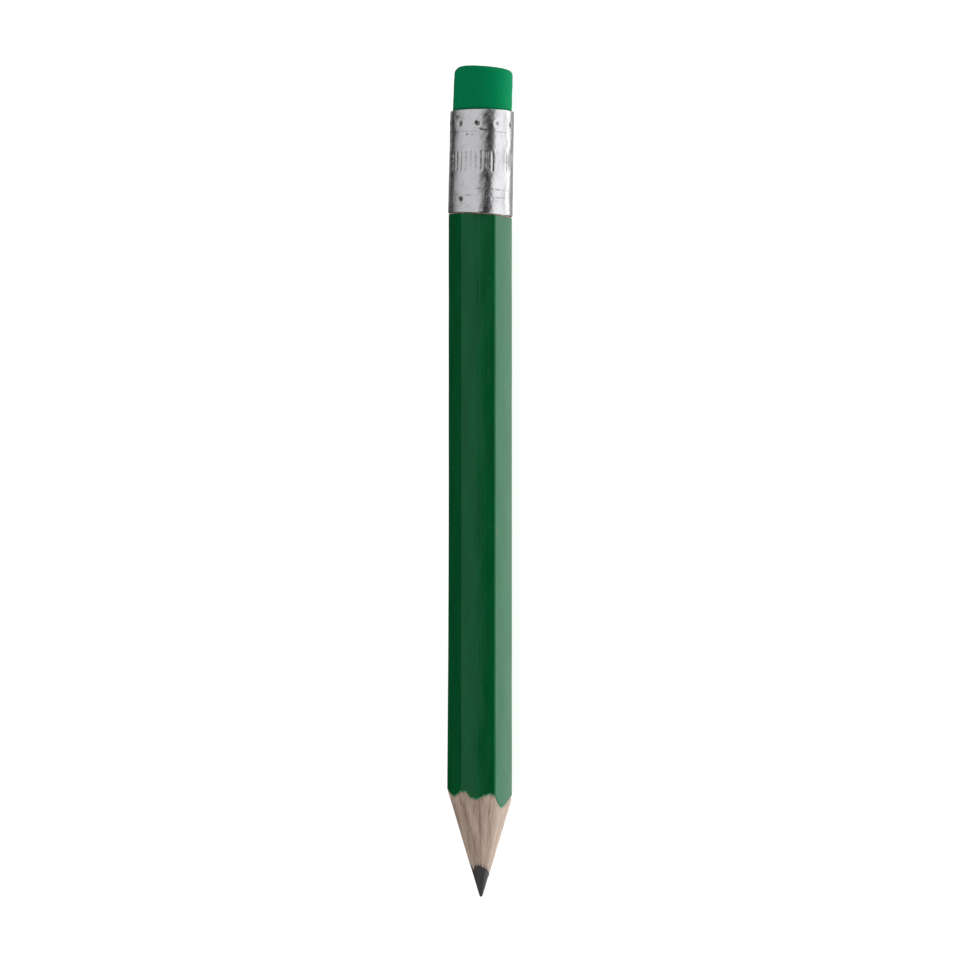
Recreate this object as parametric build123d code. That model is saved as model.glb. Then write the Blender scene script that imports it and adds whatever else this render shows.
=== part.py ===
from build123d import *
import math
import os

# A short hexagonal graphite pencil with an eraser, sharpened and unused.
#
# Two grooved wooden slats are glued round a graphite core, planed to a hexagon and lacquered. The tail is
# shaved to a tenon, and an aluminium ferrule is pushed over it and over a rubber plug, then crimped.
#
# Every piece is first built standing on its point: the pencil's axis is Z, the point is at z = 0, and the
# facet that is on top when the pencil lies down faces -Y. lay_down() then turns it to its own frame: it
# lies along Y with the point towards -Y, and z = 0 is the surface that it lies on.

# Driving dimensions, in millimetres and degrees.
overall_length = 100.0
across_flats = 6.8  # over the lacquer
corner_radius = 0.5  # of the lacquered hexagon
lacquer_thickness = 0.12
core_diameter = 2.0
glue_film_thickness = 0.06  # between the two slats
glue_sleeve_thickness = 0.05  # round the core
seam_angle = -60.0  # the slats meet in the plane through two opposite corners

# The point. Its axis is a little off the pencil's, as a sharpening machine leaves it.
cone_half_angle = 16.6
cone_offset = (0.10, 0.24)
point_radius = 0.2

# The tail. The tenon, the ferrule and the eraser lean together by a degree about the shoulder.
shoulder_height = 82.0
tail_lean = 1.0
tenon_radius = 3.45
tenon_length = 6.0
bare_ring = 0.05  # wood that shows between the lacquer and the shoulder

ferrule_outer_radius = 3.8
ferrule_wall = 0.3
ferrule_start = 0.1  # above the shoulder
ferrule_length = 12.2
ferrule_rim_radius = 0.1

flute_count = 36
flute_radius = 0.25
flute_depth = 0.11
flute_length = 2.1
flute_middle = 6.25  # above the shoulder
flute_first_angle = -86.0
bead_radius = 0.12
bead_depth = 0.05
bead_heights = (2.0, 2.9, 9.75)

# Punch marks that lock the ferrule on the eraser and on the tenon: height, count, first angle.
eraser_punches = (10.75, 10, -94.5)
tenon_punches = (1.65, 3, -125.0)
punch_radius = 0.42
punch_wall = 0.22  # metal left round a punch mark
punch_centre_radius = 3.85  # how far from the ferrule's axis the punch's round nose is centred

eraser_radius = 3.5
eraser_edge_radius = 0.8
eraser_dome_radius = 23.0
eraser_dome_offset = -1.45  # the top is worn lower on one side

# Sizes that follow from those above.
ferrule_inner_radius = ferrule_outer_radius - ferrule_wall
ferrule_end = ferrule_start + ferrule_length
bare_across_flats = across_flats - 2 * lacquer_thickness
core_radius = core_diameter / 2
groove_radius = core_radius + glue_sleeve_thickness
eraser_top = overall_length - shoulder_height  # above the shoulder
wood_end = shoulder_height + tenon_length
reach = 2 * across_flats  # half the size of a cutting tool that has to clear the pencil

tail_frame = Pos(0, 0, shoulder_height) * Rot(0, tail_lean, 0)


def upright_cylinder(radius, bottom, top):
    """A cylinder on the Z axis between two heights."""
    return Pos(0, 0, bottom) * Cylinder(radius, top - bottom, align=(Align.CENTER, Align.CENTER, Align.MIN))


def hexagonal_bar(flats, rounding, bottom, top):
    """A hexagonal bar with rounded corners and flats towards -Y and +Y, between two heights."""
    hexagon = RegularPolygon(flats / 2, 6, major_radius=False)
    return Pos(0, 0, bottom) * extrude(fillet(hexagon.vertices(), rounding), top - bottom)


def round_polar(count, first_angle):
    """The angles of marks that are spaced evenly round the ferrule."""
    return [first_angle + 360 / count * i for i in range(count)]


def sharpened_envelope():
    """The space that the sharpener leaves: a cone with a rounded point, open upwards."""
    slope = math.radians(cone_half_angle)

    def on_point(angle):
        return (point_radius * math.cos(angle), point_radius * (1 + math.sin(angle)))

    lowest, tangent = on_point(-math.pi / 2), on_point(-slope)
    middle = on_point((-math.pi / 2 - slope) / 2)
    rim = (reach, tangent[1] + (reach - tangent[0]) / math.tan(slope))
    top = overall_length + reach
    outline = ThreePointArc(lowest, middle, tangent) + Polyline(
        tangent, rim, (reach, top), (0, top), lowest
    )
    profile = make_face(Plane.XZ * outline)
    return Pos(*cone_offset, 0) * revolve(profile, Axis.Z)


def wooden_blank():
    """The planed hexagon with its tenon, before it is sawn apart, bored or sharpened."""
    rounding = corner_radius - lacquer_thickness
    body = hexagonal_bar(bare_across_flats, rounding, 0, shoulder_height)
    tail = hexagonal_bar(bare_across_flats, rounding, shoulder_height - 1, wood_end + 1)
    tenon = tail & (tail_frame * upright_cylinder(tenon_radius, -0.5, tenon_length))
    return body + tenon


def seam_box(side):
    """A box on one side of the seam, clear of the glue film."""
    depth = reach - glue_film_thickness / 2
    box = Pos(0, side * (glue_film_thickness + depth) / 2, overall_length / 2) * Box(
        2 * reach, depth, 2 * overall_length
    )
    return Rot(0, 0, seam_angle) * box


def slat(blank, envelope, side):
    """One grooved half of the casing."""
    groove = upright_cylinder(groove_radius, -1, overall_length)
    return (blank & seam_box(side) & envelope) - groove


def glue(blank, envelope):
    """The film between the slats and the sleeve that beds the core in its groove."""
    film = Rot(0, 0, seam_angle) * Pos(0, 0, overall_length / 2) * Box(
        2 * reach, glue_film_thickness, 2 * overall_length
    )
    sleeve = upright_cylinder(groove_radius, -1, overall_length)
    core = upright_cylinder(core_radius, -1, overall_length)
    return (film + sleeve - core) & blank & envelope


def graphite(blank, envelope):
    """The core, sharpened at one end and flush with the tenon at the other."""
    return upright_cylinder(core_radius, -1, overall_length) & blank & envelope


def lacquer(envelope):
    """The coat of paint. The sharpener leaves its end scalloped, lowest in the middle of each facet."""
    top = shoulder_height - bare_ring
    outside = hexagonal_bar(across_flats, corner_radius, 0, top)
    inside = hexagonal_bar(bare_across_flats, corner_radius - lacquer_thickness, -1, top + 1)
    return (outside - inside) & envelope


def punch_places():
    """Where each punch nose is centred, about the ferrule's axis."""
    return [
        Rot(0, 0, angle) * Pos(punch_centre_radius, 0, height)
        for height, count, first in (eraser_punches, tenon_punches)
        for angle in round_polar(count, first)
    ]


def punched_lugs():
    """The metal that the punch pushes inwards, about the ferrule's axis."""
    bore = upright_cylinder(ferrule_inner_radius + ferrule_wall / 2, 0, eraser_top)
    noses = [place * Sphere(punch_radius + punch_wall) for place in punch_places()]
    return [nose & bore for nose in noses]


def flute_cutter():
    """A round-ended rod that presses one flute."""
    half = flute_length / 2 - flute_radius
    rod = upright_cylinder(flute_radius, -half, half)
    return rod + Pos(0, 0, half) * Sphere(flute_radius) + Pos(0, 0, -half) * Sphere(flute_radius)


def ferrule():
    """The crimped tube, about its own axis."""
    tube = upright_cylinder(ferrule_outer_radius, ferrule_start, ferrule_end)
    tube -= upright_cylinder(ferrule_inner_radius, 0, ferrule_end + 1)
    tube = fillet(tube.edges().filter_by(GeomType.CIRCLE), ferrule_rim_radius)
    flute_centre = ferrule_outer_radius + flute_radius - flute_depth
    bead_centre = ferrule_outer_radius + bead_radius - bead_depth
    cutters = [Pos(0, 0, height) * Torus(bead_centre, bead_radius) for height in bead_heights]
    cutters += [
        Rot(0, 0, angle) * Pos(flute_centre, 0, flute_middle) * flute_cutter()
        for angle in round_polar(flute_count, flute_first_angle)
    ]
    cutters += [place * Sphere(punch_radius) for place in punch_places()]
    return (tube + punched_lugs()) - cutters


def eraser():
    """The rubber plug, about the ferrule's axis, with a dent for each punched lug."""
    plug = upright_cylinder(eraser_radius, tenon_length, eraser_top + 1)
    dome_centre = Pos(eraser_dome_offset, 0, eraser_top - eraser_dome_radius)
    plug &= dome_centre * Sphere(eraser_dome_radius)
    rim = plug.edges().filter_by(GeomType.CIRCLE, reverse=True).sort_by(Axis.Z)[-1]
    plug = fillet(rim, eraser_edge_radius)
    return plug - punched_lugs()


def lay_down(shape):
    """Turns a piece from standing on its point to lying on a surface, with its middle at the origin."""
    return Pos(0, -overall_length / 2, ferrule_outer_radius) * Rot(-90, 0, 0) * shape


def main():
    envelope = sharpened_envelope()
    blank = wooden_blank()
    lugs = [tail_frame * lug for lug in punched_lugs()]
    pieces = {
        "graphite_core": graphite(blank, envelope),
        "slat_right": slat(blank, envelope, 1) - lugs,
        "slat_left": slat(blank, envelope, -1) - lugs,
        "glue_film": glue(blank, envelope) - lugs,
        "lacquer_coat": lacquer(envelope),
        "ferrule": tail_frame * ferrule(),
        "eraser": tail_frame * eraser(),
    }
    os.makedirs("parts", exist_ok=True)
    for name, piece in pieces.items():
        export_step(lay_down(piece), f"parts/{name}.step")


main()
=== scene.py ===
import math

import bmesh
import bpy
import numpy as np
from mathutils import Matrix, Vector


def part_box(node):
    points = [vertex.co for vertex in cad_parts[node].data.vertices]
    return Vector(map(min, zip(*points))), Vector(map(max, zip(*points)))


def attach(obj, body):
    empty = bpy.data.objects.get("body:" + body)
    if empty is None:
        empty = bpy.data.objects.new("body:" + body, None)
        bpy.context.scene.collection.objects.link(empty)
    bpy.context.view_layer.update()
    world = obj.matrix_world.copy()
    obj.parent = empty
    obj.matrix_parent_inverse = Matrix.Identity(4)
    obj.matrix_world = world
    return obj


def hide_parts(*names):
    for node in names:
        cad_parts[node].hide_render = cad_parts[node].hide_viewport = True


# A short hexagonal pencil with a ferrule and an eraser, lying on a pale table.
# Each piece is modelled in millimetres, standing on its point: its axis is Z, the point is at zero, and the
# flat that ends up on top faces -Y. layDown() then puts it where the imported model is.
# Angles go round the pencil in degrees, from the top towards the right. "Along" is the way from the point.

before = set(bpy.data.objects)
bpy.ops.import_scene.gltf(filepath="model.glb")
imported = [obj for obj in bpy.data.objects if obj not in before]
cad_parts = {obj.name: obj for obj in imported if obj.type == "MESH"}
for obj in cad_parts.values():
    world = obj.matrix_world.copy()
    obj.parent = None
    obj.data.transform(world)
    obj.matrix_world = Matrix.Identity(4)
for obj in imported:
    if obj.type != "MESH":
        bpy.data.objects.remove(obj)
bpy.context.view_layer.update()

mm = 0.001
paintLow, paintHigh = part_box("lacquer_coat")
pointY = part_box("graphite_core")[0].y
axisZ = (paintLow.z + paintHigh.z) / 2
acrossFlats = (paintHigh.z - paintLow.z) / mm
coreRadius = (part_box("graphite_core")[1].z - axisZ) / mm
tenonEnd = (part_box("graphite_core")[1].y - pointY) / mm
ferruleRadius = (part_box("ferrule")[1].z - axisZ) / mm
ferruleEnd = (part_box("ferrule")[1].y - pointY) / mm
plugRadius = (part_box("eraser")[1].z - axisZ) / mm
eraserTop = (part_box("eraser")[1].y - pointY) / mm

pencil = {
    "paint": 0.12,  # thickness of the lacquer
    "cornerRadius": 0.5,
    "crown": 0.045,  # how much the middle of a flat stands proud of its sides
    "shoulder": 81.9,  # along, where the hexagon ends and the round tenon starts
    "shoulderTilt": 3.1,  # the shoulder is cut lower on the right
    "tenonRadius": 3.44,
    "lean": 1.1,  # of the tenon, the ferrule and the eraser
    "seam": 30.0,  # the corner that the joint between the slats runs through
    "glue": 0.06,
    "glueSleeve": 0.05,
    "swell": 0.17,  # how far the left corner stands out near the point
    "swellFrom": 44.0,  # along, where it starts
    "swellLength": 30.0,
    "tilt": 0.07,  # the top flat is this much proud at its left edge, and short at its right
}

sharpener = {
    "halfAngle": 16.6,
    "right": 0.08,  # the cone's axis is this much to the right of the pencil's
    "below": 0.24,
    "pointRadius": 0.2,
}


def fullTurn(columns):
    return np.linspace(-180, 180, columns + 1)  # both ends are the same line


def place(along, angle, radius):
    turn = np.radians(angle)
    return np.stack(np.broadcast_arrays(radius * np.sin(turn), -radius * np.cos(turn), along), -1)


def ripples(angle, along, seed, rounds, pitch, count=28):
    # A smooth random surface about zero, with at most this many waves in a turn, and waves along the pencil
    # that are at least a pitch long.
    random = np.random.default_rng(seed)
    total = 0
    for _ in range(count):
        waves = random.integers(-rounds, rounds + 1)
        length = pitch * random.uniform(1, 5)
        phase = random.uniform(0, 2 * math.pi)
        total = total + np.cos(waves * np.radians(angle) + 2 * math.pi * along / length + phase)
    return total / math.sqrt(count / 2)


def around(points, angle, soft=4):
    # A value for every angle from a few that are given, with the corners between them softened.
    at, values = zip(*sorted(points.items()))
    shifts = np.linspace(-soft, soft, 9)
    return np.mean([np.interp(angle + shift, at, values, period=360) for shift in shifts], axis=0)


def hexRadius(angle, flats, rounding):
    side = np.abs((angle + 30) % 60 - 30)  # from the middle of the nearest flat
    half = flats / 2
    toCorner = (half - rounding) / math.cos(math.radians(30))
    across = toCorner * np.sin(np.radians(30 - side))
    corner = toCorner * np.cos(np.radians(30 - side)) + np.sqrt(np.maximum(rounding**2 - across**2, 0))
    flatHalf = (half - rounding) * math.tan(math.radians(30))
    offMiddle = half * np.tan(np.radians(side)) / flatHalf
    flat = half / np.cos(np.radians(side))
    return np.where(offMiddle < 1, flat, corner) - pencil["crown"] * np.minimum(offMiddle, 1) ** 2


def coneWidth(along):
    # Radius of the sharpened cone about its own axis, with its rounded point.
    slope = math.radians(sharpener["halfAngle"])
    nose = sharpener["pointRadius"]
    start = nose * (1 - math.sin(slope))
    rounded = np.sqrt(np.maximum(nose**2 - (nose - along) ** 2, 0))
    straight = nose * math.cos(slope) + (along - start) * math.tan(slope)
    return np.where(along < start, rounded, straight)


def coneAlong(width):
    slope = math.radians(sharpener["halfAngle"])
    nose = sharpener["pointRadius"]
    return nose * (1 - math.sin(slope)) + (width - nose * math.cos(slope)) / math.tan(slope)


def offAxis(angle):
    # How far the cone's axis is from the pencil's, along the line at each angle and across it.
    turn = np.radians(angle)
    right, up = sharpener["right"], -sharpener["below"]
    return right * np.sin(turn) + up * np.cos(turn), right * np.cos(turn) - up * np.sin(turn)


def coneRadius(along, angle):
    ahead, aside = offAxis(angle)
    return ahead + np.sqrt(np.maximum(coneWidth(along) ** 2 - aside**2, 0))


def whereConeIs(radius, angle):
    ahead, aside = offAxis(angle)
    return coneAlong(np.hypot(radius - ahead, aside))


def bodyRadius(along, angle, under):
    # The hexagon, this far under its painted surface. Its left corner swells a little towards the point.
    hexagon = hexRadius(angle, acrossFlats - 2 * under, pencil["cornerRadius"] - under)
    hexagon = hexagon + pencil["tilt"] * np.interp(angle, (-90, -30, 30, 90), (0, 1, -1, 0), period=360)
    nearLeft = np.clip(1 - np.abs((angle + 270) % 360 - 180) / 30, 0, 1)
    towardsPoint = np.clip((pencil["swellFrom"] - along) / pencil["swellLength"], 0, 1)
    return hexagon + pencil["swell"] * nearLeft * towardsPoint**1.3


def woodRadius(along, angle):
    return np.minimum(bodyRadius(along, angle, pencil["paint"]), coneRadius(along, angle))


def shoulderAt(angle):
    slope = math.tan(math.radians(pencil["shoulderTilt"]))
    return pencil["shoulder"] - ferruleRadius * slope * np.sin(np.radians(angle))


def leanTail(points):
    # Above the shoulder, the wood, the glue and the core lean to the right.
    slope = math.tan(math.radians(pencil["lean"]))
    points[..., 0] += np.maximum(points[..., 2] - pencil["shoulder"], 0) * slope


weldReach = 0.00005  # millimetres
sharpFrom = 55  # two faces that meet at more than this angle keep a sharp edge


def shell(name, points, uv, masks=None, ringsMeet=False, sides=False):
    # A grid of rings, with a UV map and a float attribute for each mask. Poles, and the two edges of a full
    # turn, are welded, so the mesh is closed.
    rows, columns = points.shape[:2]
    index = np.arange(rows * columns).reshape(rows, columns)
    lower, upper = (index, np.roll(index, -1, 0)) if ringsMeet else (index[:-1], index[1:])
    faces = np.stack([lower[:, :-1], lower[:, 1:], upper[:, 1:], upper[:, :-1]], -1).reshape(-1, 4).tolist()
    if sides:  # the rings are open, and the second half of the rows goes back inside the first
        for edge in (index[:, 0], index[:, -1]):
            faces += [[edge[i], edge[i + 1], edge[-2 - i], edge[-1 - i]] for i in range(rows // 2 - 1)]
    mesh = bpy.data.meshes.new(name)
    mesh.from_pydata(points.reshape(-1, 3).tolist(), [], faces)
    corners = np.empty(len(mesh.loops), int)
    mesh.loops.foreach_get("vertex_index", corners)
    layer = mesh.uv_layers.new(name="surface")
    flatUv = np.stack(np.broadcast_arrays(*uv), -1).reshape(-1, 2)
    layer.data.foreach_set("uv", flatUv[corners].ravel())
    for label, values in (masks or {}).items():
        data = mesh.attributes.new(label, "FLOAT", "POINT").data
        data.foreach_set("value", np.broadcast_to(values, (rows, columns)).astype(float).ravel())
    work = bmesh.new()
    work.from_mesh(mesh)
    bmesh.ops.remove_doubles(work, verts=work.verts, dist=weldReach)
    bmesh.ops.recalc_face_normals(work, faces=work.faces)
    work.to_mesh(mesh)
    work.free()
    mesh.shade_smooth()
    mesh.set_sharp_from_angle(angle=math.radians(sharpFrom))
    piece = bpy.data.objects.new(name, mesh)
    bpy.context.scene.collection.objects.link(piece)
    return piece


def layDown(piece, leaned=False):
    # A leaned piece is modelled about the tenon's own axis, from the shoulder up.
    lying = Matrix.Translation((0, pointY, axisZ)) @ Matrix.Rotation(-math.pi / 2, 4, "X")
    lying = lying @ Matrix.Scale(mm, 4)
    if leaned:
        tilt = Matrix.Rotation(math.radians(pencil["lean"]), 4, "Y")
        lying = lying @ Matrix.Translation((0, 0, pencil["shoulder"])) @ tilt
    piece.data.transform(lying)
    piece.data.update()


def settle(piece, slot, *nodes, finish=None):
    if finish:
        piece.data.materials.clear()
        piece.data.materials.append(finish)
    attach(piece, "root")
    if nodes:
        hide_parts(*nodes)
    print("made", piece.name, len(piece.data.polygons), "faces")


def node(tree, kind, wires=None, **settings):
    made = tree.nodes.new(kind)
    for name, value in settings.items():
        setattr(made, name, value)
    for socket, value in (wires or {}).items():
        if isinstance(value, bpy.types.NodeSocket):
            tree.links.new(value, made.inputs[socket])
        else:
            made.inputs[socket].default_value = value
    return made


def sums(tree, operation, *values):
    return node(tree, "ShaderNodeMath", dict(enumerate(values)), operation=operation).outputs[0]


def vectors(tree, operation, *values):
    made = node(tree, "ShaderNodeVectorMath", dict(enumerate(values)), operation=operation)
    return made.outputs["Value" if operation in ("LENGTH", "DOT_PRODUCT") else "Vector"]


def scaled(tree, vector, factor):
    made = node(tree, "ShaderNodeVectorMath", {0: vector, "Scale": factor}, operation="SCALE")
    return made.outputs["Vector"]


def combine(tree, x=0.0, y=0.0, z=0.0):
    return node(tree, "ShaderNodeCombineXYZ", {0: x, 1: y, 2: z}).outputs[0]


def remap(tree, value, fromLow, fromHigh, toLow=0.0, toHigh=1.0):
    wires = {"Value": value, "From Min": fromLow, "From Max": fromHigh, "To Min": toLow, "To Max": toHigh}
    return node(tree, "ShaderNodeMapRange", wires, interpolation_type="SMOOTHSTEP").outputs[0]


def stretch(tree, vector, x, y, z=1.0, turn=0.0):
    wires = {"Vector": vector, "Rotation": (0, 0, math.radians(turn)), "Scale": (x, y, z)}
    return node(tree, "ShaderNodeMapping", wires).outputs[0]


def cloud(tree, vector, scale, detail=2.0, roughness=0.5, distortion=0.0):
    wires = {
        "Vector": vector,
        "Scale": scale,
        "Detail": detail,
        "Roughness": roughness,
        "Distortion": distortion,
    }
    return node(tree, "ShaderNodeTexNoise", wires).outputs["Fac"]


def blend(tree, factor, first, second, mode="MIX"):
    wires = {0: factor, 6: first, 7: second}
    return node(tree, "ShaderNodeMix", wires, data_type="RGBA", blend_type=mode).outputs[2]


def tone(red, green, blue):
    # A colour as a screen shows it, from 0 to 255, made linear.
    def linear(value):
        share = value / 255
        return share / 12.92 if share <= 0.04045 else ((share + 0.055) / 1.055) ** 2.4

    return (linear(red), linear(green), linear(blue), 1)


def groupOf(name, inputs, outputs):
    # An empty shader node group. An input without a value is a vector.
    tree = bpy.data.node_groups.new(name, "ShaderNodeTree")
    kinds = {float: "NodeSocketFloat", tuple: "NodeSocketColor", type(None): "NodeSocketVector"}
    for socket, value in inputs.items():
        made = tree.interface.new_socket(name=socket, in_out="INPUT", socket_type=kinds[type(value)])
        if value is not None:
            made.default_value = value
    for socket, kind in outputs.items():
        tree.interface.new_socket(name=socket, in_out="OUTPUT", socket_type=kinds[kind])
    return tree, node(tree, "NodeGroupInput").outputs, node(tree, "NodeGroupOutput").inputs


def useGroup(tree, group, wires):
    return node(tree, "ShaderNodeGroup", wires, node_tree=group).outputs


def material(name):
    made = bpy.data.materials.new(name)
    made.use_nodes = True
    return made, made.node_tree, made.node_tree.nodes["Principled BSDF"].inputs


def onSurface(tree):
    return node(tree, "ShaderNodeUVMap", uv_map="surface").outputs[0]  # in millimetres: round, along


def inSpace(tree):
    return node(tree, "ShaderNodeTexCoord").outputs["Object"]  # in metres


def mask(tree, name):
    return node(tree, "ShaderNodeAttribute", attribute_name=name).outputs["Fac"]


def bump(tree, height, distance, normal=None):
    wires = {"Height": height, "Distance": distance * mm, "Strength": 1.0}
    if normal:
        wires["Normal"] = normal
    return node(tree, "ShaderNodeBump", wires).outputs[0]


scratchWays = ((4, 0.05), (-31, 0.06), (84, 0.05))  # angle, and how thin they are for their length


def makeScratches():
    inputs = {"Surface": None, "Fineness": 1.0, "Amount": 0.5}
    tree, take, give = groupOf("scratches", inputs, {"Mask": float})
    fine = scaled(tree, take["Surface"], take["Fineness"])
    total = 0.0
    for turn, thin in scratchWays:  # each way has its own few patches
        lines = stretch(tree, stretch(tree, fine, 1, 1, turn=turn), 0.9, 0.9 * thin)
        nearLine = sums(tree, "ABSOLUTE", sums(tree, "SUBTRACT", cloud(tree, lines, 1.0, 0.0), 0.5))
        offset = vectors(tree, "ADD", take["Surface"], (turn, 2.0 * turn, 0))
        patches = remap(tree, cloud(tree, offset, 0.32, 2.0), 0.53, 0.72)
        found = sums(tree, "MULTIPLY", remap(tree, nearLine, 0.0, 0.0035, 1.0, 0.0), patches)
        total = sums(tree, "MAXIMUM", total, found)
    tree.links.new(sums(tree, "MULTIPLY", total, take["Amount"]), give["Mask"])
    return tree


def makeGrime():
    inputs = {"Surface": None, "Grain": 1.0, "Cover": 0.5}
    tree, take, give = groupOf("grime", inputs, {"Mask": float})
    broad = cloud(tree, take["Surface"], 0.35, 4.0, 0.6)
    fine = cloud(tree, take["Surface"], take["Grain"], 6.0, 0.7, 0.4)
    both = sums(tree, "ADD", sums(tree, "MULTIPLY", broad, 0.45), sums(tree, "MULTIPLY", fine, 0.55))
    limit = sums(tree, "SUBTRACT", 0.78, sums(tree, "MULTIPLY", take["Cover"], 0.5))
    above = sums(tree, "SUBTRACT", both, limit)
    tree.links.new(remap(tree, above, 0.0, 0.12), give["Mask"])
    return tree


def makeWoodGrain():
    inputs = {"Surface": None, "Light": (0.6, 0.5, 0.4, 1), "Dark": (0.3, 0.2, 0.15, 1), "Shift": 1.0}
    tree, take, give = groupOf("woodGrain", inputs, {"Color": tuple, "Height": float})
    shift = combine(tree, take["Shift"], take["Shift"])
    moved = vectors(tree, "ADD", take["Surface"], shift)
    bands = cloud(tree, stretch(tree, moved, 0.9, 0.12), 1.0, 3.0, 0.55, 0.3)
    streaks = cloud(tree, stretch(tree, moved, 2.8, 0.4), 1.0, 3.0, 0.6, 0.5)
    fibres = cloud(tree, stretch(tree, moved, 13.0, 1.3), 1.0, 3.0, 0.6, 0.4)
    pores = remap(tree, cloud(tree, stretch(tree, moved, 6.5, 0.6), 1.0, 1.0, 0.5, 0.6), 0.64, 0.76)
    tint = sums(tree, "ADD", sums(tree, "MULTIPLY", bands, 0.6), sums(tree, "MULTIPLY", streaks, 0.4))
    colour = blend(tree, remap(tree, tint, 0.34, 0.66), take["Dark"], take["Light"])
    # painted sheen: the fibres are lightened in the base colour, as if they caught the light
    paintedSheen = remap(tree, fibres, 0.35, 0.7, 0.0, 0.25)
    colour = blend(tree, paintedSheen, colour, (1.0, 0.93, 0.85, 1), "SOFT_LIGHT")
    colour = blend(tree, sums(tree, "MULTIPLY", pores, 0.8), colour, take["Dark"])
    height = sums(tree, "ADD", sums(tree, "MULTIPLY", fibres, 0.6), sums(tree, "MULTIPLY", streaks, 0.4))
    tree.links.new(colour, give["Color"])
    tree.links.new(sums(tree, "SUBTRACT", height, sums(tree, "MULTIPLY", pores, 0.5)), give["Height"])
    return tree


scratches = makeScratches()
grime = makeGrime()
woodGrain = makeWoodGrain()
print("made the shared node groups")


def treeWith(name, values):
    # An empty Geometry Nodes tree with these inputs.
    tree = bpy.data.node_groups.new(name, "GeometryNodeTree")
    tree.interface.new_socket(name="Geometry", in_out="INPUT", socket_type="NodeSocketGeometry")
    for label, value in values.items():
        kind = "NodeSocketInt" if isinstance(value, int) else "NodeSocketFloat"
        tree.interface.new_socket(name=label, in_out="INPUT", socket_type=kind).default_value = value
    tree.interface.new_socket(name="Geometry", in_out="OUTPUT", socket_type="NodeSocketGeometry")
    return tree, node(tree, "NodeGroupInput").outputs


def closeTree(tree, geometry, finish):
    whole = node(tree, "GeometryNodeRealizeInstances", {0: geometry}).outputs[0]
    finished = node(tree, "GeometryNodeSetMaterial", {"Geometry": whole, "Material": finish}).outputs[0]
    node(tree, "NodeGroupOutput", {0: finished})
    return tree


def bake(piece, tree):
    # Runs a tree on a piece, and keeps the result as a plain mesh.
    modifier = piece.modifiers.new(tree.name, "NODES")
    modifier.node_group = tree
    for item in tree.interface.items_tree:
        if item.in_out == "INPUT" and item.name != "Geometry":
            modifier[item.identifier] = item.default_value
    piece.update_tag()
    bpy.context.view_layer.update()
    result = bpy.data.meshes.new_from_object(piece.evaluated_get(bpy.context.evaluated_depsgraph_get()))
    piece.modifiers.remove(modifier)
    result.name = piece.name
    piece.data = result


smallestBit, largestBit = 0.4, 1.5  # of its usual size


def scatterTree(name, values, finish, kind, sizes):
    # Bits of one shape, scattered where the bed's "shown" is 1, each with its own size and turn.
    tree, take = treeWith(name, values)
    shown = node(tree, "GeometryNodeInputNamedAttribute", {"Name": "shown"}, data_type="FLOAT").outputs[0]
    density = sums(tree, "MULTIPLY", take["Density"], shown)
    wires = {"Mesh": take["Geometry"], "Density": density, "Seed": take["Seed"]}
    points = node(tree, "GeometryNodeDistributePointsOnFaces", wires).outputs["Points"]
    shape = node(tree, kind, sizes).outputs["Mesh"]
    stretched = combine(tree, take["Width"], take["Width"], take["Length"])
    bit = node(tree, "GeometryNodeTransform", {"Geometry": shape, "Scale": stretched}).outputs[0]
    lean = combine(tree, take["Lean"], take["Lean"], 3.1)
    wires = {"Min": scaled(tree, lean, -1.0), "Max": lean, "Seed": take["Seed"]}
    turn = node(tree, "FunctionNodeRandomValue", wires, data_type="FLOAT_VECTOR").outputs[0]
    wires = {2: smallestBit, 3: largestBit, "Seed": take["Seed"]}
    size = node(tree, "FunctionNodeRandomValue", wires, data_type="FLOAT").outputs[1]
    wires = {"Points": points, "Instance": bit, "Rotation": turn, "Scale": size}
    return closeTree(tree, node(tree, "GeometryNodeInstanceOnPoints", wires).outputs[0], finish)


lacquer = {
    "colour": tone(1, 98, 50),
    "deep": tone(1, 90, 44),
    "cutAndHighlight": tone(92, 168, 120),  # the thin edge that the sharpener leaves, paler still as a painted highlight on its shaded lip
    "roughness": 0.12,
    "film": 0.03,  # paint that the blade smeared over the cone
    "lip": 0.16,  # how far in from its edge the paint reaches its full thickness
    "tailLip": 0.05,
    "bite": 0.01,  # how far it goes into the wood, so that no gap shows
    "ragged": 0.095,
    "gap": 0.025,  # bare wood between the paint and the ferrule, at the least
    "nib": (13.5, 49.9, 0.09),  # a grain of dust under the paint: angle, along and size
    "chip": (36.0, 44.1, 0.14),
    "chipColour": tone(112, 96, 62),
    "scratch": tone(96, 132, 108),
    "ior": 1.46,
    "tint": (0.51, 1, 0.785, 1),  # of what it reflects
}

# Where the paint starts, from the point, at each angle: low on the flats and high on the corners.
paintStarts = {
    -150: 12.4, -120: 11.0, -90: 12.95, -79: 12.5, -64: 12.12, -51: 12.38, -39: 12.82, -25: 12.85,
    -18: 12.35, -6: 11.85, 5: 12.25, 15: 12.52, 27: 12.72, 33: 12.35, 39: 11.65, 47: 11.1, 55: 10.9,
    67: 11.2, 78: 11.72, 90: 12.2, 120: 10.7, 150: 12.1, 180: 10.7,
}
paintRaggedness = {-150: 0.6, -90: 0.5, -60: 0.9, -30: 1.0, 0: 1.3, 27: 1.0, 38: 0.25, 85: 0.3, 150: 0.7}
paintShort = {-90: 0.0, -20: 0.01, 30: 0.02, 70: 0.05, 110: 0.04, 180: 0.01}  # added to the gap

paintRound = 1.08  # the way round the hexagon, over the way round a circle that fits inside it


def paintEdge(angle):
    fray = ripples(angle, 0, 5, 42, 1) * 0.75 + ripples(angle, 0, 8, 110, 1) * 0.25
    notches = np.maximum(ripples(angle, 0, 21, 30, 1) - 1.3, 0)
    rough = around(paintRaggedness, angle) * lacquer["ragged"]
    return around(paintStarts, angle, 3) + rough * (fray + 2 * notches)


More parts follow.
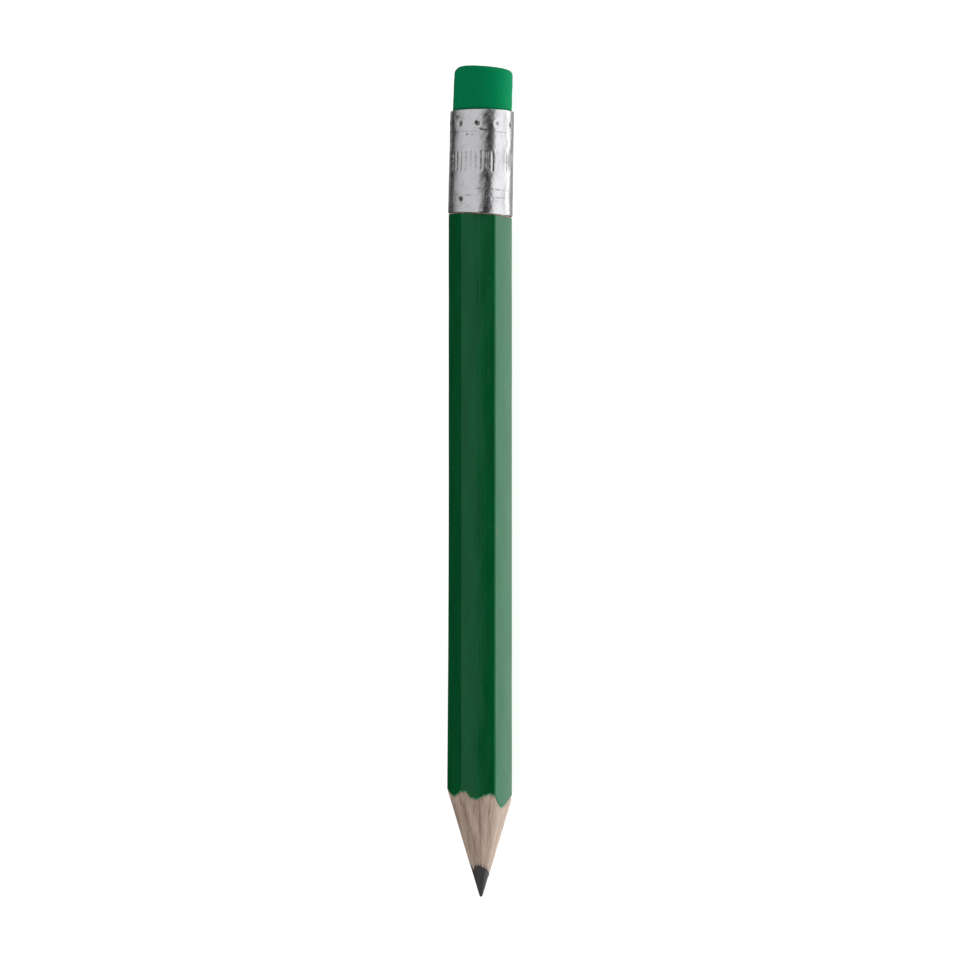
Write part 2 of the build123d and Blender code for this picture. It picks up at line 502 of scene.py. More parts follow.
def makeLacquer():
    angle = fullTurn(480)
    start = paintEdge(angle)
    start[-1] = start[0]
    gap = lacquer["gap"] + around(paintShort, angle, 15)
    end = shoulderAt(angle) - gap + 0.012 * ripples(angle, 0, 3, 50, 1)
    near = np.append([0, 0.015, 0.04, 0.075, 0.115, 0.16], np.geomspace(0.22, 2.6, 16))[:, None]
    far = np.append(np.linspace(0, 1, 58)[1:-1], [0.9992, 1])[:, None]
    along = np.vstack([start + near, start + near[-1] + (end - start - near[-1]) * far])
    fromEdge = along - start
    inLip = np.minimum(fromEdge / lacquer["lip"], (end - along) / lacquer["tailLip"])
    rise = 0.3 + 0.7 * np.sin(np.clip(inLip, 0, 1) * math.pi / 2)
    bare = woodRadius(along, angle)
    painted = np.minimum(bodyRadius(along, angle, 0), coneRadius(along, angle) + lacquer["film"])
    waves = 0.004 * ripples(angle, along, 11, 7, 6) + 0.0006 * ripples(angle, along, 12, 55, 25)
    outside = bare + (painted - bare) * rise + waves * np.clip(fromEdge / 0.5, 0, 1)
    inRows = np.r_[-1, -4, np.linspace(len(along) - 5, len(near), 8).astype(int), 12, 6, 3, 0]
    inside = bare[inRows] - lacquer["bite"]
    points = np.vstack([place(along, angle, outside), place(along[inRows], angle, inside)])
    allAlong = np.vstack([along, along[inRows]])
    masks = {"fromEdge": np.vstack([fromEdge, fromEdge[inRows]])}
    uv = (angle / 360 * math.pi * acrossFlats * paintRound, allAlong)
    piece = shell("lacquerCoat", points, uv, masks, ringsMeet=True)
    layDown(piece)
    return piece


def spotMask(tree, surface, spot, long=1.0):
    # One soft spot at an angle and a place along, drawn out along the pencil where long is under 1.
    angle, along, size = spot
    centre = (-angle / 360 * math.pi * acrossFlats * paintRound, -along, 0)
    away = stretch(tree, vectors(tree, "ADD", surface, centre), 1.0, long)
    return remap(tree, vectors(tree, "LENGTH", away), 0.0, size, 1.0, 0.0)


def lacquerPaint():
    made, tree, shader = material("lacquerPaint")
    surface = onSurface(tree)
    fromEdge = mask(tree, "fromEdge")
    mottle = cloud(tree, stretch(tree, surface, 0.8, 0.12), 1.0, 3.0)
    colour = blend(tree, remap(tree, mottle, 0.35, 0.65), lacquer["deep"], lacquer["colour"])
    colour = blend(tree, spotMask(tree, surface, lacquer["chip"], 0.25), colour, lacquer["chipColour"])
    # the paint's cut edge is paler, partly its own colour and partly a painted highlight on the sloping lip
    cutAndHighlight = remap(tree, fromEdge, 0.05, 0.22, 0.9, 0.0)
    colour = blend(tree, cutAndHighlight, colour, lacquer["cutAndHighlight"])
    lines = useGroup(tree, scratches, {"Surface": surface, "Fineness": 0.9, "Amount": 0.6})["Mask"]
    smudges = useGroup(tree, grime, {"Surface": surface, "Grain": 0.9, "Cover": 0.55})["Mask"]
    colour = blend(tree, sums(tree, "MULTIPLY", lines, 0.25), colour, lacquer["scratch"])
    tree.links.new(colour, shader["Base Color"])
    rough = sums(tree, "ADD", lacquer["roughness"], sums(tree, "MULTIPLY", smudges, 0.07))
    rough = sums(tree, "ADD", rough, sums(tree, "MULTIPLY", lines, 0.2))
    rough = sums(tree, "ADD", rough, sums(tree, "MULTIPLY", cutAndHighlight, 0.3))
    tree.links.new(rough, shader["Roughness"])
    telegraph = cloud(tree, stretch(tree, surface, 4.0, 0.07), 1.0, 3.0, 0.55)  # grain under the paint
    peel = cloud(tree, surface, 1.7, 1.0)
    nibs = remap(tree, cloud(tree, surface, 3.1, 0.0), 0.8, 0.86)
    normal = bump(tree, telegraph, 0.0022)
    normal = bump(tree, peel, 0.005, normal)
    raised = sums(tree, "MAXIMUM", nibs, spotMask(tree, surface, lacquer["nib"]))
    normal = bump(tree, sums(tree, "SUBTRACT", raised, lines), 0.01, normal)
    tree.links.new(normal, shader["Normal"])
    shader["IOR"].default_value = lacquer["ior"]
    shader["Specular Tint"].default_value = lacquer["tint"]
    return made


coat = makeLacquer()
settle(coat, "lacquer", "lacquer_coat", finish=lacquerPaint())


wood = {
    "leftLight": tone(230, 206, 189),
    "leftDark": tone(176, 151, 136),
    "rightLight": tone(212, 193, 177),
    "rightDark": tone(188, 164, 148),
    "stain": tone(216, 190, 180),
    "smeared": tone(96, 92, 90),  # with graphite
    "dust": tone(120, 112, 104),
    "burnish": tone(120, 128, 96),  # where the blade drags a little colour off the paint
    "splinter": tone(236, 224, 206),
    "fray": 0.006,  # height of the grain on the cut face
    "lip": 0.015,  # how far the wood stands over the core where it starts lower than the blade's line
    "coneTop": 13.6,  # past the highest part of the paint's edge
}

# How much higher than the blade's own line the wood starts over the core, at each angle.
woodStarts = {
    -130: 0.1, -90: 0.3, -72: 0.25, -61: -0.1, -51: -0.6, -41: -0.15, -33: 0.0, -22: -0.1, -8: 0.06,
    8: 0.1, 22: -0.06, 38: -0.02, 75: -0.15, 140: 0.05,
}

# Darker streaks in the wood: angle, along, and half the size each way, in degrees and millimetres.
woodStains = [
    (-39, 11.2, 3, 0.9), (-33, 9.8, 2.5, 1.0), (-9, 11.0, 8, 1.1), (2, 9.2, 3, 1.4), (4, 5.2, 2.5, 1.6),
    (-16, 6.2, 3, 1.2), (41, 5.8, 4, 0.8), (24, 10.4, 2, 0.8), (33, 8.0, 2.5, 1.1), (-62, 9.5, 5, 1.5),
    (100, 9, 6, 2), (170, 8, 9, 2),
]


def spread(spots, angle, along):
    # A mask that is 1 in the middle of each spot: angle, along, and half the size each way.
    found = 0
    for middle, height, wide, tall in spots:
        found = found + np.exp(-(((angle - middle) / wide) ** 2) - ((along - height) / tall) ** 2)
    return found


def makeSlat(name, firstAngle):
    angle = np.linspace(firstAngle, firstAngle + 180, 241)
    groove = coreRadius + pencil["glueSleeve"]
    start = whereConeIs(groove, angle) + around(woodStarts, angle, 5) + 0.045 * ripples(angle, 0, 31, 60, 1)
    cone = start + (wood["coneTop"] - start) * np.linspace(0, 1, 96)[:, None]
    shoulder = shoulderAt(angle)
    body = wood["coneTop"] + (shoulder - wood["coneTop"]) * np.linspace(0, 1, 8)[1:, None]
    tenon = shoulder + (tenonEnd - shoulder) * np.array([0, 0.5, 1])[:, None]
    along = np.vstack([cone, body, tenon])
    grainHeight = ripples(angle, cone, 41, 120, 9) + 0.5 * ripples(angle, cone, 42, 150, 0.7)
    grainHeight = wood["fray"] * grainHeight * np.clip((cone - start) / 0.4, 0, 1)
    lip = wood["lip"] * np.clip((whereConeIs(groove, angle) - cone) / 0.1, 0, 1)
    outside = woodRadius(along, angle)
    outside[: len(cone)] += grainHeight + lip
    outside[-3:] = np.minimum(outside[-3:], pencil["tenonRadius"])
    inside = np.minimum(groove, coneRadius(along, angle))
    outside[0] = np.maximum(outside[0], inside[0])
    points = np.vstack([place(along, angle, outside), place(along[::-1], angle, inside[::-1])])
    leanTail(points)
    points += place(0, firstAngle + 90, pencil["glue"] / 2)
    both = np.vstack([along, along[::-1]])
    masks = {
        "fromCore": both - start,
        "fromPaint": np.where(both < pencil["shoulder"] / 2, paintEdge(angle) - both, 1),
        "stains": spread(woodStains, angle, both),
    }
    grainWidth = 1.75 + 0.5 * np.minimum(coneRadius(both, angle), acrossFlats / 2)  # less near the point
    uv = (np.radians(angle) * grainWidth, both)
    piece = shell(name, points, uv, masks, ringsMeet=True, sides=True)
    layDown(piece)
    return piece


# How many in a square millimetre, their size in millimetres, and how far they lean in radians.
splinters = {"Density": 75.0, "Length": 0.17, "Width": 0.013, "Lean": 0.35, "Seed": 3}
splinterRows = (-0.11, 0.0, 0.03)  # they stand between these, from the paint's edge


def makeSplinters(finish):
    # Fibres that the blade left standing along the edge of the paint.
    angle = fullTurn(240)
    along = paintEdge(angle) + np.array(splinterRows)[:, None]
    points = place(along, angle, woodRadius(along, angle) + 0.012)
    bed = shell("splinters", points, (angle, along), {"shown": 1.0})
    sizes = {"Vertices": 5, "Radius Bottom": 0.5}
    bake(bed, scatterTree("splinterScatter", splinters, finish, "GeometryNodeMeshCone", sizes))
    layDown(bed)
    return bed


def woodFinish(name, light, dark, shift):
    made, tree, shader = material(name)
    surface = onSurface(tree)
    grain = useGroup(tree, woodGrain, {"Surface": surface, "Light": light, "Dark": dark, "Shift": shift})
    fromCore, fromPaint = mask(tree, "fromCore"), mask(tree, "fromPaint")
    uneven = remap(tree, cloud(tree, stretch(tree, surface, 3.0, 1.2), 1.0, 3.0), 0.3, 0.7, -0.25, 0.3)
    smear = remap(tree, sums(tree, "ADD", fromCore, uneven), -0.1, 0.5, 0.6, 0.0)
    streaky = remap(tree, cloud(tree, stretch(tree, surface, 5.0, 0.5), 1.0, 3.0), 0.35, 0.6)
    stains = sums(tree, "MULTIPLY", mask(tree, "stains"), streaky)
    colour = blend(tree, stains, grain["Color"], wood["stain"], "MULTIPLY")
    colour = blend(tree, smear, colour, wood["smeared"])
    dust = useGroup(tree, grime, {"Surface": surface, "Grain": 2.2, "Cover": 0.5})["Mask"]
    colour = blend(tree, sums(tree, "MULTIPLY", dust, 0.18), colour, wood["dust"])
    burnish = remap(tree, fromPaint, 0.0, 0.35, 0.35, 0.0)
    colour = blend(tree, burnish, colour, wood["burnish"], "MULTIPLY")
    tree.links.new(colour, shader["Base Color"])
    tree.links.new(remap(tree, grain["Height"], 0.2, 0.8, 0.72, 0.56), shader["Roughness"])
    turns = cloud(tree, stretch(tree, surface, 0.35, 9.0), 1.0, 2.0)  # marks of the blade, round the cone
    normal = bump(tree, turns, 0.004)
    normal = bump(tree, grain["Height"], 0.03, normal)
    tree.links.new(normal, shader["Normal"])
    shader["Specular IOR Level"].default_value = 0.3
    return made


def splinterFinish():
    made, tree, shader = material("splinterWood")
    shade = remap(tree, cloud(tree, inSpace(tree), 3000.0, 1.0), 0.35, 0.65)
    tree.links.new(blend(tree, shade, wood["leftDark"], wood["splinter"]), shader["Base Color"])
    tree.links.new(bump(tree, shade, 0.002), shader["Normal"])
    shader["Roughness"].default_value = 0.7
    return made


slatLeft = makeSlat("slatLeft", pencil["seam"] - 180)
leftFinish = woodFinish("woodLeft", wood["leftLight"], wood["leftDark"], 3.0)
settle(slatLeft, "wood", "slat_left", finish=leftFinish)
slatRight = makeSlat("slatRight", pencil["seam"])
rightFinish = woodFinish("woodRight", wood["rightLight"], wood["rightDark"], 17.0)
settle(slatRight, "wood", "slat_right", finish=rightFinish)
settle(makeSplinters(splinterFinish()), "wood")


glue = {
    "colour": tone(206, 184, 165),
    "dark": tone(186, 162, 142),
    "smeared": tone(70, 67, 67),  # with graphite, where the core comes out
    "sunk": 0.002,  # how far its surface is below the wood's
}


def joined(pieces):
    with bpy.context.temp_override(active_object=pieces[0], selected_editable_objects=pieces):
        bpy.ops.object.join()
    return pieces[0]


def makeGlue():
    # A sleeve round the core, and a fin out to the surface on each side.
    angle = fullTurn(96)
    start = whereConeIs(coreRadius, angle)
    along = start + (tenonEnd - start) * np.r_[0, np.geomspace(0.0015, 1, 24)][:, None]
    outside = np.minimum(coreRadius + pencil["glueSleeve"], coneRadius(along, angle) - glue["sunk"])
    inside = np.minimum(coreRadius - 0.01, outside)
    points = np.vstack([place(along, angle, outside), place(along[::-1], angle, inside[::-1])])
    leanTail(points)
    both = np.vstack([along, along[::-1]])
    masks = {"fromCore": both - start}
    pieces = [shell("glueFilm", points, (np.radians(angle), both), masks, ringsMeet=True)]
    for seam in (pencil["seam"], pencil["seam"] - 180):
        start = whereConeIs(coreRadius + pencil["glueSleeve"], seam)
        shoulder = shoulderAt(seam)
        along = np.r_[np.linspace(start, wood["coneTop"], 40), 40, shoulder - 0.05, shoulder, tenonEnd]
        outside = woodRadius(along, seam) - glue["sunk"]
        outside[-2:] = pencil["tenonRadius"] - glue["sunk"]
        left, right = (place(0, seam + 90, side * pencil["glue"] / 2) for side in (-1, 1))
        inner, outer = place(along, seam, coreRadius), place(along, seam, outside)
        rings = np.stack([inner + left, inner + right, outer + right, outer + left, inner + left], 1)
        low, high = (0 * ring + ring.mean(1, keepdims=True) for ring in (rings[:1], rings[-1:]))
        rings = np.vstack([low, rings, high])
        leanTail(rings)
        rows = np.r_[along[0], along, along[-1]][:, None]
        pieces.append(shell("fin", rings, (np.zeros(5), rows), {"fromCore": rows - start}))
    piece = joined(pieces)
    layDown(piece)
    return piece


def driedGlue():
    made, tree, shader = material("driedGlue")
    patchy = cloud(tree, inSpace(tree), 1400.0, 3.0)
    colour = blend(tree, remap(tree, patchy, 0.35, 0.65), glue["dark"], glue["colour"])
    colour = blend(tree, remap(tree, mask(tree, "fromCore"), 0.25, 0.6, 1.0, 0.0), colour, glue["smeared"])
    tree.links.new(colour, shader["Base Color"])
    tree.links.new(remap(tree, patchy, 0.3, 0.7, 0.45, 0.65), shader["Roughness"])
    tree.links.new(bump(tree, patchy, 0.01), shader["Normal"])
    shader["Specular IOR Level"].default_value = 0.3
    return made


settle(makeGlue(), "glue", "glue_film", finish=driedGlue())


core = {
    "colour": tone(68, 65, 65),
    # a lighter grey, painted in as the core's sheen
    "paintedSheen": tone(104, 102, 103),
    "roughness": 0.5,
    "coneEnd": 4.4,  # along, past the last of the core that shows
}


def makeCore():
    angle = fullTurn(160)
    nose = sharpener["pointRadius"] * (1 - np.cos(np.radians(np.linspace(0, 70, 9))))
    cone = np.linspace(nose[-1] + 0.03, core["coneEnd"], 84)
    along = np.concatenate([nose, cone, [20, 50, tenonEnd]])[:, None] + 0 * angle
    ahead, aside = offAxis(angle)
    cylinder = -ahead + np.sqrt(coreRadius**2 - aside**2)
    marks = 0.0016 * ripples(angle, along, 52, 2, 0.12) + 0.003 * ripples(angle, along, 53, 26, 1.5)
    radius = np.minimum(coneWidth(along) + marks * np.clip(along - 0.1, 0, 1), cylinder)
    radius = np.vstack([radius, 0 * angle])
    along = np.vstack([along, along[-1:]])
    points = place(along, angle, radius) + np.array([sharpener["right"], sharpener["below"], 0])
    leanTail(points)
    piece = shell("graphiteCore", points, (angle / 360 * 2 * math.pi * coreRadius, along))
    layDown(piece)
    return piece


def graphite():
    made, tree, shader = material("graphite")
    surface = onSurface(tree)
    grains = cloud(tree, surface, 9.0, 4.0, 0.7)
    turned = cloud(tree, stretch(tree, surface, 0.8, 11.0), 1.0, 3.0, 0.6)
    lines = useGroup(tree, scratches, {"Surface": surface, "Fineness": 2.0, "Amount": 0.8})["Mask"]
    # painted sheen: lighter specks and scratch lines in the base colour stand in for the core's shine
    light = sums(tree, "ADD", remap(tree, grains, 0.55, 0.75, 0.0, 0.4), sums(tree, "MULTIPLY", lines, 0.5))
    colour = blend(tree, light, core["colour"], core["paintedSheen"])
    tree.links.new(colour, shader["Base Color"])
    rough = remap(tree, turned, 0.3, 0.7, core["roughness"] - 0.06, core["roughness"] + 0.12)
    tree.links.new(rough, shader["Roughness"])
    normal = bump(tree, turned, 0.006)
    normal = bump(tree, grains, 0.012, normal)
    tree.links.new(normal, shader["Normal"])
    shader["Metallic"].default_value = 0.15
    return made


settle(makeCore(), "graphite", "graphite_core", finish=graphite())


eraser = {
    "bulge": 0.04,  # the rubber swells where it leaves the ferrule
    "dome": 23.0,  # radius of the top
    "domeLeft": 1.3,  # how far to the left the top is highest
    "edgeRadius": (0.98, 0.66),  # on the left and on the right
    "worn": 0.24,  # how much shorter than new
    "lean": 0.9,  # more than the ferrule's
    "taper": 0.03,  # how much thinner it is at the top
    "inFerrule": 6.2,  # how deep it goes into the ferrule
    "pinched": 0.42,  # how far in from the ferrule's face it is there
    "colour": tone(0, 141, 88),
    "pale": tone(64, 170, 122),
    "speck": tone(120, 200, 165),
    "dust": tone(20, 92, 62),
    "mouthShade": tone(4, 62, 40),  # painted shade, where it leaves the ferrule
    "crumb": tone(178, 214, 196),
    "roughness": 0.62,
}

crumbs = {"Density": 0.32, "Length": 0.05, "Width": 0.04, "Lean": 3.1, "Seed": 9}  # as for the splinters


def makeEraser(finish):
    angle = fullTurn(256)
    across = np.sin(np.radians(angle))  # -1 on the left, 1 on the right
    left, right = eraser["edgeRadius"]
    edge = (left + right) / 2 + (right - left) / 2 * across
    radius = plugRadius + eraser["bulge"]
    top = eraserTop - pencil["shoulder"] - eraser["worn"]

    def domeHeight(width):
        x, y = width * across + eraser["domeLeft"], width * np.cos(np.radians(angle))
        return top - eraser["dome"] + np.sqrt(eraser["dome"] ** 2 - x**2 - y**2)

    # Rings from the middle of the top outwards, round its edge, down the side and into the ferrule.
    rows = [(width, domeHeight(width)) for width in np.linspace(0, 1, 30)[:, None] * (radius - edge)]
    rim = domeHeight(radius - edge)
    for bend in np.radians(np.linspace(6, 90, 15)):
        rows.append((radius - edge * (1 - np.sin(bend)), rim - edge * (1 - np.cos(bend))))
    mouth = ferruleEnd - pencil["shoulder"]
    for share in np.linspace(0, 1, 44)[1:]:
        rows.append((radius + 0 * angle, rim - edge + (mouth + 0.05 - rim + edge) * share))
    for depth in (0.35, 3.0, eraser["inFerrule"]):
        rows.append((ferruleRadius - eraser["pinched"] + 0 * angle, mouth - depth + 0 * angle))
    rows.append((0 * angle, mouth - eraser["inFerrule"] + 0 * angle))
    width, along = (np.array(values) for values in zip(*rows))
    way = along + width
    wear = 0.010 * ripples(angle, way, 61, 9, 1.6) + 0.004 * ripples(angle, way, 62, 40, 0.5)
    taper = eraser["taper"] * np.clip((along - mouth) / (top - mouth), 0, 1)
    width = width * (1 - taper / radius) + wear * np.clip(width / radius, 0, 1)
    points = place(along, angle, width)
    points[..., 0] += np.maximum(along - mouth, 0) * math.tan(math.radians(eraser["lean"]))
    masks = {"fromFerrule": along - mouth, "shown": (along > mouth + 0.15).astype(float)}
    uv = (angle / 360 * 2 * math.pi * radius, along + np.maximum(radius - width, 0))
    plug = shell("eraserPlug", points, uv, masks)
    bed = plug.copy()
    bed.name = "eraserCrumbs"
    bed.data = plug.data.copy()
    bpy.context.scene.collection.objects.link(bed)
    sizes = {"Radius": 0.5, "Subdivisions": 2}
    bake(bed, scatterTree("crumbScatter", crumbs, finish, "GeometryNodeMeshIcoSphere", sizes))
    layDown(plug, leaned=True)
    layDown(bed, leaned=True)
    return plug, bed


def rubber():
    made, tree, shader = material("greenRubber")
    surface = onSurface(tree)
    spot = inSpace(tree)
    grain = cloud(tree, spot, 5200.0, 3.0, 0.65)
    mottle = cloud(tree, spot, 700.0, 4.0, 0.6)
    colour = blend(tree, remap(tree, mottle, 0.4, 0.7, 0.0, 0.03), eraser["colour"], eraser["pale"])
    specks = remap(tree, cloud(tree, spot, 3600.0, 1.0), 0.71, 0.76)
    colour = blend(tree, sums(tree, "MULTIPLY", specks, 0.1), colour, eraser["speck"])
    dust = useGroup(tree, grime, {"Surface": surface, "Grain": 1.6, "Cover": 0.45})["Mask"]
    colour = blend(tree, sums(tree, "MULTIPLY", dust, 0.2), colour, eraser["dust"])
    # painted shade: the rubber is darker just above the ferrule's mouth, where the two meet
    near = remap(tree, mask(tree, "fromFerrule"), 0.0, 0.35, 0.55, 0.0)
    colour = blend(tree, near, colour, eraser["mouthShade"])
    tree.links.new(colour, shader["Base Color"])
    rough = remap(tree, grain, 0.3, 0.7, eraser["roughness"] - 0.06, eraser["roughness"] + 0.1)
    tree.links.new(rough, shader["Roughness"])
    normal = bump(tree, grain, 0.022)
    normal = bump(tree, mottle, 0.05, normal)
    tree.links.new(normal, shader["Normal"])
    shader["Specular IOR Level"].default_value = 0.04
    return made


def crumbFinish():
    made, tree, shader = material("rubberCrumbs")
    shade = remap(tree, cloud(tree, inSpace(tree), 900.0, 1.0), 0.4, 0.6)
    tree.links.new(blend(tree, shade, eraser["pale"], eraser["crumb"]), shader["Base Color"])
    tree.links.new(remap(tree, shade, 0.0, 1.0, 0.6, 0.8), shader["Roughness"])
    return made


plug, crumbPile = makeEraser(crumbFinish())
settle(plug, "eraser_rubber", "eraser", finish=rubber())
settle(crumbPile, "eraser_rubber")


ferrule = {
    "wall": 0.3,
    "start": 0.05,  # above the shoulder
    "short": 0.02,  # how far its middle stops below its highest edge
    "rim": 0.1,
    "skewLow": -0.135,  # how much further up its right side starts and ends
    "skewHigh": 0.045,
    "wider": 0.03,  # than its seat, all along
    "flare": 0.07,  # wider still at the tenon
    "crease": 0.075,  # a soft fold up from the tenon, where the tube was squeezed
    "creaseEnd": 0.62,  # of the way up
    "creaseFade": 0.3,
    "hexagon": 0.02,  # how much of the hexagon shows through at the tenon
    "colour": tone(226, 226, 229),
    "film": tone(150, 146, 142),
    # the colour of a painted dark reflection up the right side
    "paintedReflection": tone(120, 116, 112),
    # the colour of dirt, and of painted shade in the pressed marks and along the beads
    "dirtAndShade": tone(58, 54, 52),
    "roughness": 0.18,
    "reflectionBandAngle": 74.0,  # a painted dark reflection, as a duller band up the right side
    "reflectionBandWidth": 26.0,
}
creaseShape = {-60: 0, 0: 1, 30: -0.5, 70: 0}  # outwards or inwards, at each angle

# Heights are above the shoulder, and angles are of the first mark of each ring.
pressing = {
    "Flutes": 36,
    "First flute": 4.0,
    "Flute height": 6.25,
    "Flute length": 2.1,
    "Flute width": 0.24,
    "Flute depth": 0.06,
    "Eraser punches": 10,
    "First eraser punch": -4.5,
    "Eraser punch height": 10.75,
    "Tenon punches": 3,
    "First tenon punch": -35.0,
    "Tenon punch height": 1.65,
    "Punch width": 0.48,
    "Punch depth": 0.17,
    "Bead width": 0.09,
    "Bead depth": 0.02,
}
beadHeights = (2.0, 2.9, 9.75)
pressedHarder = {-120: 0.8, -20: 1, 25: 1, 31: 0.15, 42: 0.15, 50: 0.7, 90: 0.9}  # at each angle

# Dark patches on the ferrule, partly smears, partly painted shade along the beads and painted dark
# reflections
# near its left edge: angle, height above the shoulder, and half the size each way, in degrees and
# millimetres.
ferruleSmearsAndShade = [
    (-33, 3.4, 2.5, 0.12), (7, 10.0, 8, 0.12), (-24, 9.4, 2.5, 0.12), (-15, 9.3, 2.5, 0.1),
    (-60, 6.6, 8, 0.8), (-62, 3.0, 8, 0.7), (-60, 0.8, 9, 0.6), (-52, 9.6, 7, 0.5), (120, 8.0, 12, 0.6),
    (-150, 5.0, 10, 0.9), (-36, 1.7, 4, 0.25), (12, 11.6, 9, 0.5), (-48, 11.6, 9, 0.3),
    (24, 2.95, 34, 0.07), (-17, 2.1, 8, 0.08), (42, 2.0, 12, 0.06), (4, 10.05, 7, 0.14),
]


def pressingTree(metal):
    # Presses flutes, punch marks and bead lines into a plain tube that stands on Z.
    tree, take = treeWith("ferrulePressing", pressing)

    def ring(count, first, height):
        wires = {"Vertices": count, "Radius": ferruleRadius}
        circle = node(tree, "GeometryNodeMeshCircle", wires).outputs[0]
        turn = sums(tree, "RADIANS", sums(tree, "SUBTRACT", first, 90.0))
        wires = {
            "Geometry": circle,
            "Translation": combine(tree, z=height),
            "Rotation": combine(tree, z=turn),
        }
        return node(tree, "GeometryNodeTransform", wires).outputs[0]

    def closeness(target, reach, element):
        nearest = node(tree, "GeometryNodeProximity", {0: target}, target_element=element)
        return remap(tree, nearest.outputs["Distance"], 0.0, reach, 1.0, 0.0)

    halfLength = sums(tree, "MULTIPLY", take["Flute length"], 0.5)
    bottom, top = (combine(tree, z=sums(tree, "MULTIPLY", halfLength, side)) for side in (-1.0, 1.0))
    line = node(tree, "GeometryNodeCurvePrimitiveLine", {"Start": bottom, "End": top}).outputs[0]
    line = node(tree, "GeometryNodeCurveToMesh", {"Curve": line}).outputs[0]
    fluteRing = ring(take["Flutes"], take["First flute"], take["Flute height"])
    flutes = node(tree, "GeometryNodeInstanceOnPoints", {"Points": fluteRing, "Instance": line}).outputs[0]
    flutes = node(tree, "GeometryNodeRealizeInstances", {0: flutes}).outputs[0]
    punches = node(tree, "GeometryNodeJoinGeometry")
    for name in ("Eraser", "Tenon"):
        first = take[f"First {name.lower()} punch"]
        marks = ring(take[name + " punches"], first, take[name + " punch height"])
        tree.links.new(marks, punches.inputs[0])
    beads = node(tree, "GeometryNodeJoinGeometry")
    for height in beadHeights:
        tree.links.new(ring(128, 0.0, height), beads.inputs[0])

    spot = node(tree, "GeometryNodeInputPosition").outputs[0]
    uneven = node(tree, "ShaderNodeTexNoise", {"Vector": spot, "Scale": 0.55, "Detail": 2.0}).outputs["Fac"]
    outer = node(tree, "GeometryNodeInputNamedAttribute", {"Name": "outer"}, data_type="FLOAT").outputs[0]
    firm = node(tree, "GeometryNodeInputNamedAttribute", {"Name": "firm"}, data_type="FLOAT").outputs[0]
    fluteMark = closeness(flutes, take["Flute width"], "EDGES")
    fluteMark = sums(tree, "MULTIPLY", fluteMark, remap(tree, uneven, 0.3, 0.62, 0.35, 1.0))
    fluteMark = sums(tree, "MULTIPLY", fluteMark, firm)
    punchMark = closeness(punches.outputs[0], take["Punch width"], "POINTS")
    punchMark = sums(tree, "MULTIPLY", punchMark, firm)
    beadMark = closeness(beads.outputs[0], take["Bead width"], "EDGES")
    beadMark = sums(tree, "MULTIPLY", beadMark, remap(tree, uneven, 0.42, 0.56))
    fluteDepth = sums(tree, "MULTIPLY", fluteMark, take["Flute depth"])
    beadDepth = sums(tree, "MULTIPLY", beadMark, take["Bead depth"])
    shallow = sums(tree, "MULTIPLY", sums(tree, "ADD", fluteDepth, beadDepth), outer)
    punchDepth = sums(tree, "MULTIPLY", punchMark, take["Punch depth"])  # on the inner wall too
    depth = sums(tree, "ADD", shallow, punchDepth)
    outward = vectors(tree, "NORMALIZE", vectors(tree, "MULTIPLY", spot, (1.0, 1.0, 0.0)))
    inward = scaled(tree, outward, sums(tree, "MULTIPLY", depth, -1.0))
    wires = {"Geometry": take["Geometry"], "Offset": inward}
    pressed = node(tree, "GeometryNodeSetPosition", wires).outputs[0]
    for name, value in {"flute": fluteMark, "punch": punchMark, "bead": beadMark}.items():
        wires = {"Geometry": pressed, "Name": name, "Value": sums(tree, "MULTIPLY", value, outer)}
        stored = node(tree, "GeometryNodeStoreNamedAttribute", wires, data_type="FLOAT", domain="POINT")
        pressed = stored.outputs[0]
    return closeTree(tree, pressed, metal)


